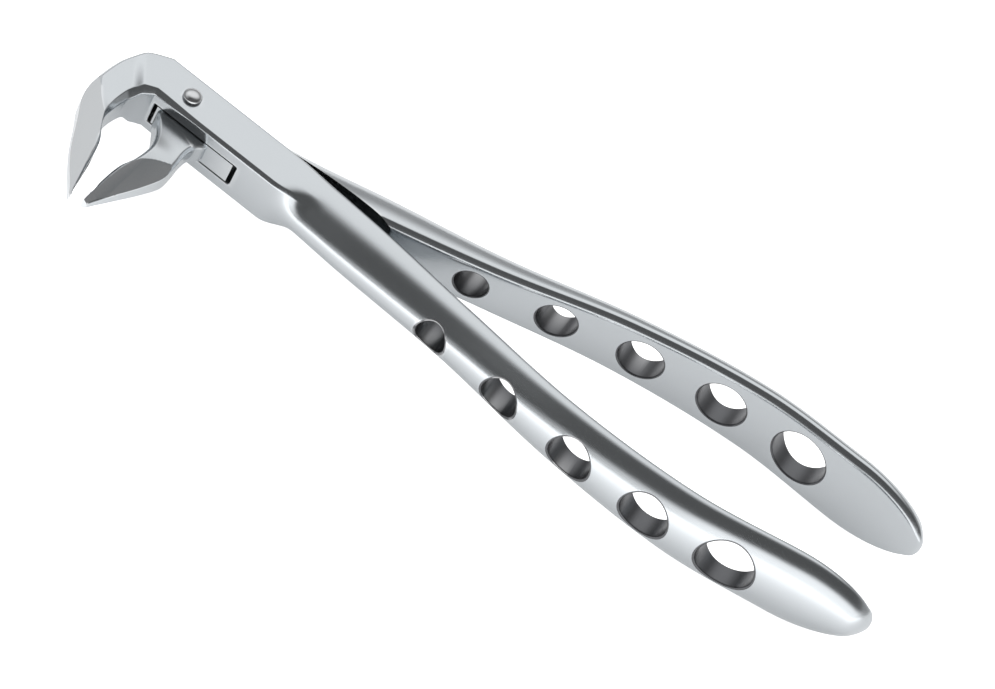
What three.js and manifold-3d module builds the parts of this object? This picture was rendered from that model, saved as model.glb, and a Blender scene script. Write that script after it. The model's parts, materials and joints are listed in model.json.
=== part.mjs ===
// Extraction forceps for lower teeth, English pattern with a box joint and drilled handles.
// Millimetres, +Z up along the pivot rivet, +X towards the handle ends. The origin is on the
// pivot axis at the rivet's flush lower end, and the two handles mirror each other about +X.
import * as THREE from 'three';
import { mergeVertices } from 'three/addons/utils/BufferGeometryUtils.js';
import Module from 'manifold-3d';

// ---------------------------------------------------------------- driving dimensions
// Joint
const JOINT_THICKNESS = 10.1; // along Z, over both cheeks of the box
const OUTER_SIDE = 3.9; // pivot axis to the side where a half has its own handle back
const INNER_SIDE = 5.0; // pivot axis to the side that faces the other half
const JOINT_CHAMFER = 0.6; // along every long edge of the joint
const JOINT_REACH = 20.5; // pivot axis to the start of the handle
const SLOT_HEIGHT = 4.7; // gap between the two cheeks
const SLOT_FRONT = 4.4; // pivot axis to the beak end of the window
const SLOT_BACK = 13.6; // pivot axis to the handle end of the window
const TONGUE_CLEARANCE = 0.15; // tongue to each cheek
const TONGUE_END_CLEARANCE = 0.35; // tongue to the window's ends as it turns
const SHOULDER_CLEARANCE = 0.2; // between the halves' side faces at the ends of their travel

// Travel, counted from the pose the part is modelled in
const REST_OPENING = 12.6; // degrees between the two halves' own axes
const CLOSE_TRAVEL = 1.5; // degrees
const OPEN_TRAVEL = 20; // degrees

// Pivot rivet
const RIVET_DIAMETER = 3.0;
const RIVET_CLEARANCE = 0.05; // rivet to its holes, on the radius
const RIVET_HEAD_DIAMETER = 3.4;
const RIVET_HEAD_HEIGHT = 1.15;
const RIVET_HEAD_GAP = 0.05; // head to the upper cheek

// Handles
const HANDLE_REACH = 145.2; // pivot axis to the handle's end
const HANDLE_CHAMFER = 0.95; // along the flat inner face
const HANDLE_END_SHARE = 0.45; // of the thickness that is left at the very end
const BACK_FADE = 9; // length over which a square section turns into the round back
const END_ROUNDING = 16; // length of the rounded end
const FIRST_HOLE = 56.6; // pivot axis to the first finger hole
const HOLE_PITCH = 15.78;
const HOLE_DIAMETERS = [5.9, 7.1, 8.2, 9.0, 10.4];
const HOLE_BEVEL = 0.3; // at the rim in the flat face
const HOLE_FLARE = 0.7; // at the rim in the round back

// Beaks
const BEAK_TIP_HALF = 1.2; // half of a beak tip's width along Z
const BEAK_RIDGE_HALF = 0.55; // half height of the ridge on a beak's back at the tip
const HOLLOW_DEPTH = 0.7; // of the spoon in each gripping face
const HOLLOW_HALF = 1.55; // half of the spoon's width
const HOLLOW_REACH = 0.44; // share of the blade that the spoon runs to each way from its middle
const HALF = JOINT_THICKNESS / 2;
const BOX_SIDE = INNER_SIDE + OUTER_SIDE;

// Handle shape: share of the way from the joint to the end, how far the flat inner face
// stands off the half's axis, the flat's half height, and the whole thickness.
const HANDLE_SHAPE = [
  [0, INNER_SIDE, HALF - HANDLE_CHAMFER, BOX_SIDE],
  [0.14, 4.0, 4.4, 8.8],
  [0.316, 1.7, 4.45, 7.2],
  [0.516, -1.4, 5.6, 6.0],
  [0.716, -1.1, 6.7, 5.6],
  [0.876, 3.0, 7.2, 5.5],
  [1, 6.4, 7.0, 5.4],
];

// Female beak, in its half's own axes, from the tip to the box: points on its back and on its
// gripping side, and the half heights there.
const FEMALE_BEAK = [
  { back: [-3.4, -29.8], front: [-2.7, -30.6], ridge: BEAK_RIDGE_HALF, edge: BEAK_TIP_HALF },
  { back: [-8.3, -22.8], front: [-4.3, -24.0], ridge: 0.9, edge: 2.3 },
  { back: [-11.6, -16.6], front: [-5.7, -18.6], ridge: 1.2, edge: 3.2 },
  { back: [-14.1, -11.6], front: [-8.0, -14.6], ridge: 1.9, edge: 3.9 },
  { back: [-14.3, -7.4], front: [-8.9, -10.4], ridge: 3.3, edge: 4.5 },
  { back: [-13.5, -2.6], front: [-8.8, -6.8], ridge: 4.6, edge: 4.9 },
  { back: [-11.2, 2.4], front: [-7.4, -4.7], ridge: HALF, edge: HALF },
  { back: [-7.2, INNER_SIDE], front: [-5.2, -OUTER_SIDE], ridge: HALF, edge: HALF },
];

// Male beak, in its half's own axes, from the tip to the tongue.
const TONGUE_HALF = SLOT_HEIGHT / 2 - TONGUE_CLEARANCE;
const MALE_BEAK = [
  { back: [-6.1, -28.9], front: [-7.1, -28.5], ridge: BEAK_RIDGE_HALF, edge: BEAK_TIP_HALF },
  { back: [-2.6, -24.0], front: [-6.0, -23.3], ridge: 0.9, edge: 2.3 },
  { back: [0.7, -19.5], front: [-4.7, -19.2], ridge: 1.2, edge: 3.1 },
  { back: [2.8, -16.0], front: [-3.0, -16.2], ridge: 1.8, edge: 3.7 },
  { back: [3.5, -12.5], front: [-1.9, -12.4], ridge: 3.2, edge: 4.2 },
  { back: [3.8, -9.6], front: [-2.2, -8.8], ridge: 3.7, edge: 3.7 },
  { back: [4.6, -7.2], front: [-3.2, -5.8], ridge: 2.9, edge: 2.9 },
  { back: [6.2, -5.6], front: [-4.0, -3.6], ridge: TONGUE_HALF, edge: TONGUE_HALF },
  { back: [7.0, -3.0], front: [-3.6, -1.5], ridge: TONGUE_HALF, edge: TONGUE_HALF },
];

// Section points: the round back leaves one wide facet at its shoulder, from angle to angle
const SHOULDER_FROM = THREE.MathUtils.degToRad(43);
const SHOULDER_TO = THREE.MathUtils.degToRad(49);
const CROWN_STEPS = 5;
const SIDE_STEPS = 4;
const HANDLE_STEPS = 30;
const END_STEPS = 9;
const BEAK_STEPS = 3;
const ROUND_STEPS = 36;

const wasm = await Module();
wasm.setup();

// ---------------------------------------------------------------- small tools
const toRadians = THREE.MathUtils.degToRad;
const lerp = THREE.MathUtils.lerp;

/** A smooth curve through [place, value, value...] rows, read by place. */
function smoothThrough(rows) {
  const slope = (i, k) => {
    const before = rows[Math.max(i - 1, 0)];
    const after = rows[Math.min(i + 1, rows.length - 1)];
    return (after[k] - before[k]) / (after[0] - before[0]);
  };
  return (place) => {
    let i = 0;
    while (i < rows.length - 2 && place > rows[i + 1][0]) i += 1;
    const span = rows[i + 1][0] - rows[i][0];
    const t = THREE.MathUtils.clamp((place - rows[i][0]) / span, 0, 1);
    return rows[i].slice(1).map((value, k) => {
      const start = i === 0 ? 0 : slope(i, k + 1) * span;
      const end = slope(i + 1, k + 1) * span;
      const rise = rows[i + 1][k + 1] - value;
      return value + t * start + t * t * (3 * rise - 2 * start - end) + t ** 3 * (start + end - 2 * rise);
    });
  };
}

/** Manifold solid of a closed geometry. */
function toSolid(geometry) {
  const bare = geometry.index ? geometry.toNonIndexed() : geometry.clone();
  bare.deleteAttribute('normal');
  bare.deleteAttribute('uv');
  const merged = mergeVertices(bare);
  return new wasm.Manifold(new wasm.Mesh({
    numProp: 3,
    vertProperties: new Float32Array(merged.attributes.position.array),
    triVerts: new Uint32Array(merged.index.array),
  }));
}

/** Three.js geometry of a manifold solid. */
function toGeometry(solid) {
  const mesh = solid.getMesh();
  const geometry = new THREE.BufferGeometry();
  geometry.setAttribute('position', new THREE.BufferAttribute(mesh.vertProperties, 3));
  geometry.setIndex(new THREE.BufferAttribute(mesh.triVerts, 1));
  geometry.computeVertexNormals();
  return geometry;
}

/** Turns a closed geometry's faces outwards. */
function facingOut(geometry) {
  const at = (i) => new THREE.Vector3().fromBufferAttribute(geometry.attributes.position, geometry.index.getX(i));
  let volume = 0;
  for (let i = 0; i < geometry.index.count; i += 3) volume += at(i).dot(at(i + 1).cross(at(i + 2)));
  if (volume < 0) geometry.index.array.reverse();
  return geometry;
}

/** Closed solid through a row of rings that all have the same number of points. */
function loft(rings) {
  const count = rings[0].length;
  const points = rings.flat();
  const faces = [];
  for (let r = 0; r < rings.length - 1; r += 1) {
    for (let k = 0; k < count; k += 1) {
      const a = r * count + k;
      const b = r * count + ((k + 1) % count);
      faces.push(a, b, b + count, a, b + count, a + count);
    }
  }
  const last = (rings.length - 1) * count;
  for (let k = 1; k < count - 1; k += 1) {
    faces.push(0, k + 1, k);
    faces.push(last, last + k, last + k + 1);
  }
  const geometry = new THREE.BufferGeometry();
  geometry.setAttribute('position', new THREE.Float32BufferAttribute(points.flatMap((p) => p.toArray()), 3));
  geometry.setIndex(faces);
  return toSolid(facingOut(geometry));
}

/** Upright prism over a plan outline, from z = low to z = high. */
function prism(outline, low, high) {
  const shape = new THREE.Shape(outline.map(([x, y]) => new THREE.Vector2(x, y)));
  const geometry = new THREE.ExtrudeGeometry(shape, { depth: high - low, bevelEnabled: false });
  return toSolid(geometry.translate(0, 0, low));
}

const turned = ([x, y], degrees) => {
  const p = new THREE.Vector2(x, y).rotateAround(new THREE.Vector2(), toRadians(degrees));
  return [p.x, p.y];
};

/** Ring of points from a section's upper half, given as [distance from back, z] pairs. */
function ring(back, front, upper) {
  const across = new THREE.Vector2(...front).sub(new THREE.Vector2(...back)).normalize();
  const place = ([v, z]) => new THREE.Vector3(back[0] + across.x * v, back[1] + across.y * v, z);
  const lower = upper.filter(([, z]) => z > 0).map(([v, z]) => [v, -z]).reverse();
  return [...upper, ...lower].map(place);
}

/** Upper half of a section with flat sides: back edge, crown, front edge, front face. */
function flatSided(width, ridge, edge, chamfer) {
  const rise = Math.min(chamfer, ridge * 0.6);
  const fall = Math.min(chamfer, edge * 0.4);
  const inset = Math.min(chamfer, width * 0.3);
  const crownStart = [inset, ridge];
  const crownEnd = [width - inset, edge];
  const upper = [[0, ridge - rise]];
  for (let k = 0; k <= CROWN_STEPS; k += 1) {
    const t = k / CROWN_STEPS;
    upper.push([lerp(crownStart[0], crownEnd[0], t), lerp(crownStart[1], crownEnd[1], t)]);
  }
  for (let k = 0; k <= SIDE_STEPS; k += 1) {
    upper.push([width, (edge - fall) * (1 - k / SIDE_STEPS)]);
  }
  return upper;
}

/** Upper half of a handle section: flat inner face, chamfer and a half-elliptic back. */
function roundBacked(flatHalf, thickness, chamfer) {
  const backPoint = (angle) => [
    chamfer + (thickness - chamfer) * Math.sin(angle),
    (flatHalf + chamfer) * Math.cos(angle),
  ];
  const upper = [[0, flatHalf]];
  for (let k = 0; k <= CROWN_STEPS; k += 1) upper.push(backPoint((SHOULDER_FROM * k) / CROWN_STEPS));
  for (let k = 0; k < SIDE_STEPS; k += 1) {
    upper.push(backPoint(lerp(SHOULDER_TO, Math.PI / 2, k / SIDE_STEPS)));
  }
  upper.push([thickness, 0]);
  return upper;
}

// ---------------------------------------------------------------- handle
const handleLength = HANDLE_REACH - JOINT_REACH;
const handleShape = smoothThrough(HANDLE_SHAPE);
const handleAt = (x) => handleShape((x - JOINT_REACH) / handleLength);

/** Ring of the handle at a distance from the pivot, with its inner face at +Y. */
function handleRing(x, squareUntil) {
  const [inner, flatHalf, thickness] = handleAt(x);
  const endDistance = Math.max(0, (x - (HANDLE_REACH - END_ROUNDING)) / END_ROUNDING);
  const endScale = Math.sqrt(Math.max(0, 1 - endDistance ** 2));
  const slimming = lerp(HANDLE_END_SHARE, 1, endScale ** 0.6);
  const chamfer = HANDLE_CHAMFER * Math.min(1, endScale * 2);
  const flat = Math.max((flatHalf + HANDLE_CHAMFER) * endScale - chamfer, 0.05);
  const round = roundBacked(flat, thickness * slimming, chamfer);
  const fade = THREE.MathUtils.smoothstep(x, squareUntil, squareUntil + BACK_FADE);
  const square = flatSided(BOX_SIDE, HALF, HALF, JOINT_CHAMFER);
  const upper = round.map(([v, z], k) => [lerp(square[k][0], v, fade), lerp(square[k][1], z, fade)]);
  return ring([x, inner], [x, inner - 1], upper);
}

/** Rings of a handle from its root to its end, with a square section at the root. */
function handleRings(start) {
  const places = [];
  const bodyEnd = HANDLE_REACH - END_ROUNDING;
  for (let k = 0; k < HANDLE_STEPS; k += 1) places.push(lerp(start, bodyEnd, k / HANDLE_STEPS));
  for (let k = 0; k < END_STEPS; k += 1) {
    places.push(bodyEnd + END_ROUNDING * Math.sin((Math.PI / 2) * (k / END_STEPS)));
  }
  places.push(HANDLE_REACH - 0.05);
  return places.map((x) => handleRing(x, start));
}

/** Finger holes square to the plane between the handles, bevelled at both rims. */
function fingerHoles(side) {
  return HOLE_DIAMETERS.map((diameter, k) => {
    const x = FIRST_HOLE + k * HOLE_PITCH;
    const [inner, , thickness] = handleAt(x);
    const radius = diameter / 2;
    const outer = thickness - HOLE_FLARE;
    const profile = [
      [0, -thickness], [radius + HOLE_BEVEL + thickness, -thickness], [radius + HOLE_BEVEL, 0],
      [radius, HOLE_BEVEL], [radius, outer - HOLE_FLARE], [radius + HOLE_FLARE, outer],
      [radius + HOLE_FLARE + thickness, outer + thickness], [0, outer + thickness],
    ].map(([r, h]) => new THREE.Vector2(r, h));
    const cutter = new THREE.LatheGeometry(profile, ROUND_STEPS);
    cutter.rotateX(Math.PI).rotateZ(toRadians(REST_OPENING / 2)).translate(x, inner, 0);
    if (side < 0) cutter.rotateX(Math.PI);
    return toSolid(cutter);
  });
}

const withHoles = (solid, side = 1) => fingerHoles(side).reduce((body, hole) => body.subtract(hole), solid);

// ---------------------------------------------------------------- beaks
/** Rings through a beak's stations, smooth in the bend and straight along the blade. */
function beakRings(stations) {
  const rows = stations.map((s, k) => [k, ...s.back, ...s.front, s.ridge, s.edge]);
  const through = smoothThrough(rows);
  const rings = [];
  const last = (stations.length - 1) * BEAK_STEPS;
  for (let k = 0; k <= last; k += 1) {
    const [bx, by, fx, fy, ridge, edge] = through(k / BEAK_STEPS);
    const width = Math.hypot(fx - bx, fy - by);
    rings.push(ring([bx, by], [fx, fy], flatSided(width, ridge, edge, JOINT_CHAMFER)));
  }
  return rings;
}

/** Round upright hole through the joint for the rivet. */
function rivetHole() {
  const radius = RIVET_DIAMETER / 2 + RIVET_CLEARANCE;
  const hole = new THREE.CylinderGeometry(radius, radius, JOINT_THICKNESS * 2, ROUND_STEPS);
  return toSolid(hole.rotateX(Math.PI / 2));
}

/** Long shallow spoon in the gripping face, which is the front of a beak's first two stretches. */
function gripHollow(stations) {
  const tip = new THREE.Vector2(...stations[0].front);
  const heel = new THREE.Vector2(...stations[2].front);
  const middle = tip.clone().lerp(heel, 0.5);
  const spoon = new THREE.SphereGeometry(1, 20, 12);
  spoon.scale(tip.distanceTo(heel) * HOLLOW_REACH, HOLLOW_DEPTH, HOLLOW_HALF);
  spoon.rotateZ(heel.sub(tip).angle());
  return toSolid(spoon.translate(middle.x, middle.y, 0));
}

// ---------------------------------------------------------------- female half
function femaleHalf() {
  let body = loft([...beakRings(FEMALE_BEAK), ...handleRings(JOINT_REACH)]);
  const slot = [[-SLOT_FRONT, -BOX_SIDE], [SLOT_BACK, -BOX_SIDE], [SLOT_BACK, BOX_SIDE], [-SLOT_FRONT, BOX_SIDE]];
  body = body.subtract(prism(slot, -SLOT_HEIGHT / 2, SLOT_HEIGHT / 2));
  body = body.subtract(rivetHole());
  body = body.subtract(gripHollow(FEMALE_BEAK));
  return withHoles(body);
}

// ---------------------------------------------------------------- male half
/** Plan outline of all that the female half fills beyond its side towards the male handle. */
function femaleFromInside() {
  const far = HANDLE_REACH / 2;
  const outline = [[-far, -far], [far, -far]];
  for (let x = far; x > JOINT_REACH; x -= 4) outline.push([x, handleAt(x)[0] + SHOULDER_CLEARANCE]);
  outline.push([JOINT_REACH, INNER_SIDE + SHOULDER_CLEARANCE], [-far, INNER_SIDE + SHOULDER_CLEARANCE]);
  return outline;
}

/** Plan outline of all that the female half fills beyond its side towards the male beak. */
function femaleFromFront() {
  const far = HANDLE_REACH / 2;
  const side = -OUTER_SIDE - SHOULDER_CLEARANCE;
  return [[-far, side], [far, side], [far, far], [-far, far]];
}

/** Plan outline of the tongue as it lies in the window, in the female half's axes. */
function tongueOutline() {
  const front = -OUTER_SIDE + 0.05;
  const nose = SLOT_FRONT - TONGUE_END_CLEARANCE;
  const heel = Math.sqrt((SLOT_BACK - TONGUE_END_CLEARANCE) ** 2 - OUTER_SIDE ** 2);
  const outer = (x) => OUTER_SIDE / Math.cos(toRadians(REST_OPENING)) + x * Math.tan(toRadians(REST_OPENING));
  const outline = [[-nose * 0.87, front], [heel, front], [heel, outer(heel) - 0.6], [0, outer(0) - 0.05]];
  for (let k = 0; k <= 6; k += 1) {
    const angle = toRadians(lerp(130, 210, k / 6));
    outline.push([nose * Math.cos(angle), nose * Math.sin(angle)]);
  }
  return outline.map((p) => turned(p, -REST_OPENING));
}

function maleHalf() {
  const turnedBy = (outline, degrees) => outline.map((p) => turned(p, -REST_OPENING + degrees));
  let handle = loft(handleRings(RIVET_DIAMETER).map((points) => points.map((p) => new THREE.Vector3(p.x, -p.y, p.z))));
  handle = handle.subtract(prism(turnedBy(femaleFromInside(), CLOSE_TRAVEL), -HANDLE_REACH, HANDLE_REACH));

  let beak = loft(beakRings(MALE_BEAK));
  for (const travel of [CLOSE_TRAVEL, -OPEN_TRAVEL]) {
    const front = turnedBy(femaleFromFront(), travel);
    beak = beak.subtract(prism(front, TONGUE_HALF, JOINT_THICKNESS));
    beak = beak.subtract(prism(front, -JOINT_THICKNESS, -TONGUE_HALF));
  }
  beak = beak.subtract(gripHollow(MALE_BEAK));

  const tongue = prism(tongueOutline(), -TONGUE_HALF, TONGUE_HALF);
  return withHoles(handle, -1).add(beak).add(tongue).subtract(rivetHole());
}

// ---------------------------------------------------------------- rivet
/** Rivet with its lower end flush at z = 0 and a low domed head on the upper cheek. */
function rivet() {
  const shank = RIVET_DIAMETER / 2;
  const head = RIVET_HEAD_DIAMETER / 2;
  const seat = JOINT_THICKNESS + RIVET_HEAD_GAP;
  const rim = seat + RIVET_HEAD_HEIGHT * 0.4;
  const profile = [[0, 0], [shank, 0], [shank, seat], [head, seat], [head, rim]];
  for (let k = 1; k <= 6; k += 1) {
    const angle = (Math.PI / 2) * (k / 6);
    profile.push([head * Math.cos(angle), rim + RIVET_HEAD_HEIGHT * 0.6 * Math.sin(angle)]);
  }
  profile[profile.length - 1][0] = 0;
  const points = profile.map(([r, h]) => new THREE.Vector2(r, h));
  return toSolid(new THREE.LatheGeometry(points, ROUND_STEPS).rotateX(Math.PI / 2));
}

// ---------------------------------------------------------------- assembly
const steel = (color, roughness) => new THREE.MeshStandardMaterial({ color, roughness, metalness: 1 });

function place(name, solid, material, degrees, height) {
  const mesh = new THREE.Mesh(toGeometry(solid), material);
  mesh.name = name;
  mesh.rotation.z = toRadians(degrees);
  mesh.position.z = height;
  return mesh;
}

const forceps = new THREE.Group();
forceps.add(
  place('female_half', femaleHalf(), steel(0xc6cacd, 0.3), -REST_OPENING / 2, HALF),
  place('male_half', maleHalf(), steel(0xc6cacd, 0.3), REST_OPENING / 2, HALF),
  place('pivot_rivet', rivet(), steel(0xd2d5d8, 0.25), -REST_OPENING / 2, 0),
);

export default forceps;
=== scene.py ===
"""Extraction forceps for lower teeth, English pattern: fine surfaces, finishes and studio.

Each half is drawn in millimetres in its own axes: the origin is on the pivot axis at the middle
of the joint, +X runs along the half towards its handle's end, and +Z towards the rivet's head.
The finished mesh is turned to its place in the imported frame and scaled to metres.
"""

import json
import logging
import math
from collections.abc import Callable, Mapping, Sequence
from dataclasses import dataclass, field
from enum import Enum

import bmesh
import bpy
import numpy as np
from mathutils import Matrix, Vector, kdtree


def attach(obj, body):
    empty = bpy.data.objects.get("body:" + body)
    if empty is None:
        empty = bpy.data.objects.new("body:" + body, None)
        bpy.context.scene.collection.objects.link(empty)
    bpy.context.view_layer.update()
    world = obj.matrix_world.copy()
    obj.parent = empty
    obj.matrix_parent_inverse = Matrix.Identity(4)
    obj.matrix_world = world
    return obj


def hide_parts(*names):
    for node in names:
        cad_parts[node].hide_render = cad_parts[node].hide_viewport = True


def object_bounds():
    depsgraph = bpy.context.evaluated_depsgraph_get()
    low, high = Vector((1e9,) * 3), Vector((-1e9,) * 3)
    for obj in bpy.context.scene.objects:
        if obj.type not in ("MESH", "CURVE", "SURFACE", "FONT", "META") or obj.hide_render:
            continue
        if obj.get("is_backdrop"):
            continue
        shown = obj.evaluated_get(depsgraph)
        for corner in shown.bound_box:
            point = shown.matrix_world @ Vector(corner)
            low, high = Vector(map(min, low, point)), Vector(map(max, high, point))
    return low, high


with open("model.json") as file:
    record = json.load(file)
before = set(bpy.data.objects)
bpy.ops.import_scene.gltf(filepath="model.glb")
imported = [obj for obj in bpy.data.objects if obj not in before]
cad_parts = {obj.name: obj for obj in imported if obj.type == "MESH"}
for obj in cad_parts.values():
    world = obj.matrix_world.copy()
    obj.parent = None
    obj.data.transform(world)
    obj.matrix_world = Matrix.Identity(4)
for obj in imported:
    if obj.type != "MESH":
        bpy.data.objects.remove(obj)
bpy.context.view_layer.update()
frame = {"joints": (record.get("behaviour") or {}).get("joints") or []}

LOG = logging.getLogger("forceps")
MM = 0.001
Point = tuple[float, float]

# Tolerances of working solids, in millimetres.
TINY = 1e-6
CUT_REACH = 1e-5
COLLAPSE_REACH = 0.001
WELD_REACH = 0.003

# Most of a length that a corner's round, a chamfer's rise or its inset takes.
CORNER_SHARE = 0.45
RIDGE_SHARE = 0.6
EDGE_SHARE = 0.4
INSET_SHARE = 0.3

# Least bend of a sharp edge and of an edge given wearing and a painted highlight in degrees, and reach
# of that wearing and painted highlight in metres.
SHARP_DEGREES = 33
WORN_HIGHLIT_DEGREES = 25
WEAR_HIGHLIGHT_REACH = 0.5 * MM
RIB_WORN_HIGHLIT_DEGREES = 80
RIB_WEAR_HIGHLIGHT_REACH = 0.05 * MM

# Stretches round a turned shape.
ROUND_STEPS = 96


# ------------------------------------------------------------------ sizes
@dataclass(frozen=True)
class JointSizes:
    """Box joint: the female half's box, the male half's tongue and their clearances."""

    thickness: float = 10.1
    outer_side: float = 3.9
    inner_side: float = 5.0
    chamfer: float = 0.6
    corner_round: float = 0.2
    reach: float = 20.5
    slot_height: float = 4.7
    slot_front: float = 4.4
    slot_back: float = 13.6
    slot_round: float = 0.35
    slot_break: float = 0.12
    tongue_clearance: float = 0.2
    tongue_end_clearance: float = 0.22
    shoulder_clearance: float = 0.2
    rest_opening: float = 12.6
    rivet_diameter: float = 3.0
    rivet_clearance: float = 0.05

    @property
    def half(self) -> float:
        """Half the joint's thickness."""
        return self.thickness / 2

    @property
    def width(self) -> float:
        """Joint's width from side to side."""
        return self.outer_side + self.inner_side

    @property
    def tongue_half(self) -> float:
        """Half the tongue's thickness."""
        return self.slot_height / 2 - self.tongue_clearance


JOINT = JointSizes()


@dataclass(frozen=True)
class HandleSizes:
    """Drilled handle with a flat inner face, a chamfer and a round back.

    The rows of shape hold a share of the way from the joint to the end, then the inner face's
    offset, the flat's half height and the thickness there.
    """

    reach: float = 145.2
    chamfer: float = 0.95
    corner_round: float = 0.42
    end_share: float = 0.45
    end_flat_round: float = 1.3
    end_back_round: float = 3.0
    crown_fade: float = 9.0
    side_fade: float = 7.0
    end_rounding: float = 16.0
    first_hole: float = 56.6
    hole_pitch: float = 15.78
    hole_diameters: tuple[float, ...] = (5.9, 7.1, 8.2, 9.0, 10.4)
    hole_bevel: float = 0.32
    hole_flare: float = 0.45
    shape: tuple[tuple[float, ...], ...] = (
        (0, 5.0, 4.1, 8.9),
        (0.14, 4.0, 4.4, 8.8),
        (0.316, 1.7, 4.45, 7.2),
        (0.516, -1.4, 5.6, 6.0),
        (0.716, -1.1, 6.7, 5.6),
        (0.876, 3.0, 7.2, 5.5),
        (1, 6.4, 7.0, 5.4),
    )


@dataclass(frozen=True)
class Station:
    """One section of a beak: plan points on its back and gripping side, and half heights."""

    back: Point
    front: Point
    ridge: float
    edge: float
    fall: float = JOINT.chamfer


@dataclass(frozen=True)
class Facet:
    """Ground flat on both faces of a beak, at height + slope_x * x + slope_y * y."""

    height: float
    slope_x: float
    slope_y: float


@dataclass(frozen=True)
class GripSizes:
    """Teardrop hollow and lengthwise ribs in a beak's gripping face."""

    depth: float = 0.55
    half_width: float = 1.5
    reach_share: float = 0.44
    ribs: int = 7
    rib_pitch: float = 0.36
    rib_radius: float = 0.11
    segments: int = 64


HANDLE = HandleSizes()
GRIP = GripSizes()

FEMALE_BEAK = (
    Station((-3.4, -29.8), (-2.7, -30.6), 0.9, 1.2),
    Station((-8.3, -22.8), (-4.3, -24.0), 1.8, 2.3),
    Station((-11.6, -16.6), (-5.7, -18.6), 2.7, 3.1),
    Station((-14.1, -11.6), (-8.0, -14.6), 3.0, 3.7),
    Station((-14.4, -7.4), (-8.45, -11.2), 3.35, 3.4, 1.0),
    Station((-13.7, -2.5), (-8.1, -7.6), 4.1, 3.7, 1.2),
    Station((-12.75, 0.1), (-7.6, -6.4), 4.45, 4.0, 1.3),
    Station((-11.2, 2.6), (-6.7, -5.3), JOINT.half, JOINT.half, 1.2),
    Station((-7.4, JOINT.inner_side), (-5.0, -JOINT.outer_side), JOINT.half, JOINT.half, 0.9),
)
FEMALE_FACET = Facet(12.2, 0.465, 0.33)

MALE_BEAK = (
    Station((-6.1, -28.9), (-7.1, -28.5), 0.9, 1.2),
    Station((-2.6, -24.0), (-6.0, -23.3), 1.6, 2.2),
    Station((0.7, -19.5), (-4.7, -19.2), 2.2, 2.95),
    Station((2.8, -16.0), (-3.0, -16.2), 2.4, 3.3),
    Station((3.5, -12.5), (-1.9, -12.4), 2.5, 3.4),
    Station((3.8, -9.6), (-2.2, -8.8), 2.5, 2.8),
    Station((4.6, -7.2), (-3.2, -5.8), 2.3, 2.35),
    Station((6.2, -5.6), (-4.0, -3.6), JOINT.tongue_half, JOINT.tongue_half),
    Station((7.0, -3.0), (-3.6, -1.5), JOINT.tongue_half, JOINT.tongue_half),
)
MALE_FACET = Facet(7.53, -0.328, 0.308)


# ------------------------------------------------------------------ curves and sections
def smooth_table(rows: Sequence[Sequence[float]]) -> Callable[[float], np.ndarray]:
    """Makes a smooth curve through rows.

    Args:
        rows: A place followed by its values, in rising order of place.

    Returns:
        A function from a place to its interpolated values.
    """
    table = np.array(rows, float)

    def slope(i: int) -> np.ndarray:
        """Slope of the curve at one row."""
        before, after = table[max(i - 1, 0)], table[min(i + 1, len(table) - 1)]
        return (after[1:] - before[1:]) / (after[0] - before[0])

    def read(place: float) -> np.ndarray:
        """Values at a place, held at the ends.

        Args:
            place: Where to read.

        Returns:
            The interpolated values.
        """
        i = int(np.clip(np.searchsorted(table[:, 0], place) - 1, 0, len(table) - 2))
        span = table[i + 1, 0] - table[i, 0]
        t = float(np.clip((place - table[i, 0]) / span, 0, 1))
        start = np.zeros_like(table[i, 1:]) if i == 0 else slope(i) * span
        end = slope(i + 1) * span
        rise = table[i + 1, 1:] - table[i, 1:]
        curve = t * start + t**2 * (3 * rise - 2 * start - end) + t**3 * (start + end - 2 * rise)
        return table[i, 1:] + curve

    return read


def smoothstep(x: float, low: float, high: float) -> float:
    """Smooth rise from 0 at low to 1 at high."""
    t = min(max((x - low) / (high - low), 0.0), 1.0)
    return t * t * (3 - 2 * t)


def turned(points: Sequence[Point], degrees: float) -> list[Point]:
    """Plan points turned about the origin."""
    c, s = math.cos(math.radians(degrees)), math.sin(math.radians(degrees))
    return [(c * x - s * y, s * x + c * y) for x, y in points]


def eased_corner(
    before: Point, corner: Point, after: Point, radius: float, steps: int
) -> np.ndarray:
    """Points of a small round in place of a corner.

    Args:
        before: Outline point that leads to the corner.
        corner: The corner.
        after: Outline point that follows it.
        radius: Reach of the round along both sides.
        steps: Number of stretches in the round.

    Returns:
        The round's points, from its start to its end.
    """
    b, c, a = (np.array(p, float) for p in (before, corner, after))
    to_b, to_a = b - c, a - c
    len_b, len_a = max(np.linalg.norm(to_b), TINY), max(np.linalg.norm(to_a), TINY)
    reach = min(radius, CORNER_SHARE * len_b, CORNER_SHARE * len_a)
    p, q = c + to_b / len_b * reach, c + to_a / len_a * reach
    t = np.linspace(0, 1, steps + 1)[:, None]
    return (1 - t) ** 2 * p + 2 * t * (1 - t) * c + t**2 * q


@dataclass(frozen=True)
class SectionPlan:
    """Number of stretches in each part of a section's upper half, and angles on a round back.

    The shoulder lies between two angles in degrees. The lean is the place on the back, in
    radians, that the chamfer's corner leads to.
    """

    flat: int = 8
    corner: int = 3
    crown: int = 26
    side: int = 16
    shoulder_from: float = 43.0
    shoulder_to: float = 49.0
    lean: float = 0.2

    @property
    def shoulder(self) -> int:
        """Number of points in the two corners between crown and side."""
        return 2 * (self.corner + 1)


PLAN = SectionPlan()


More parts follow.
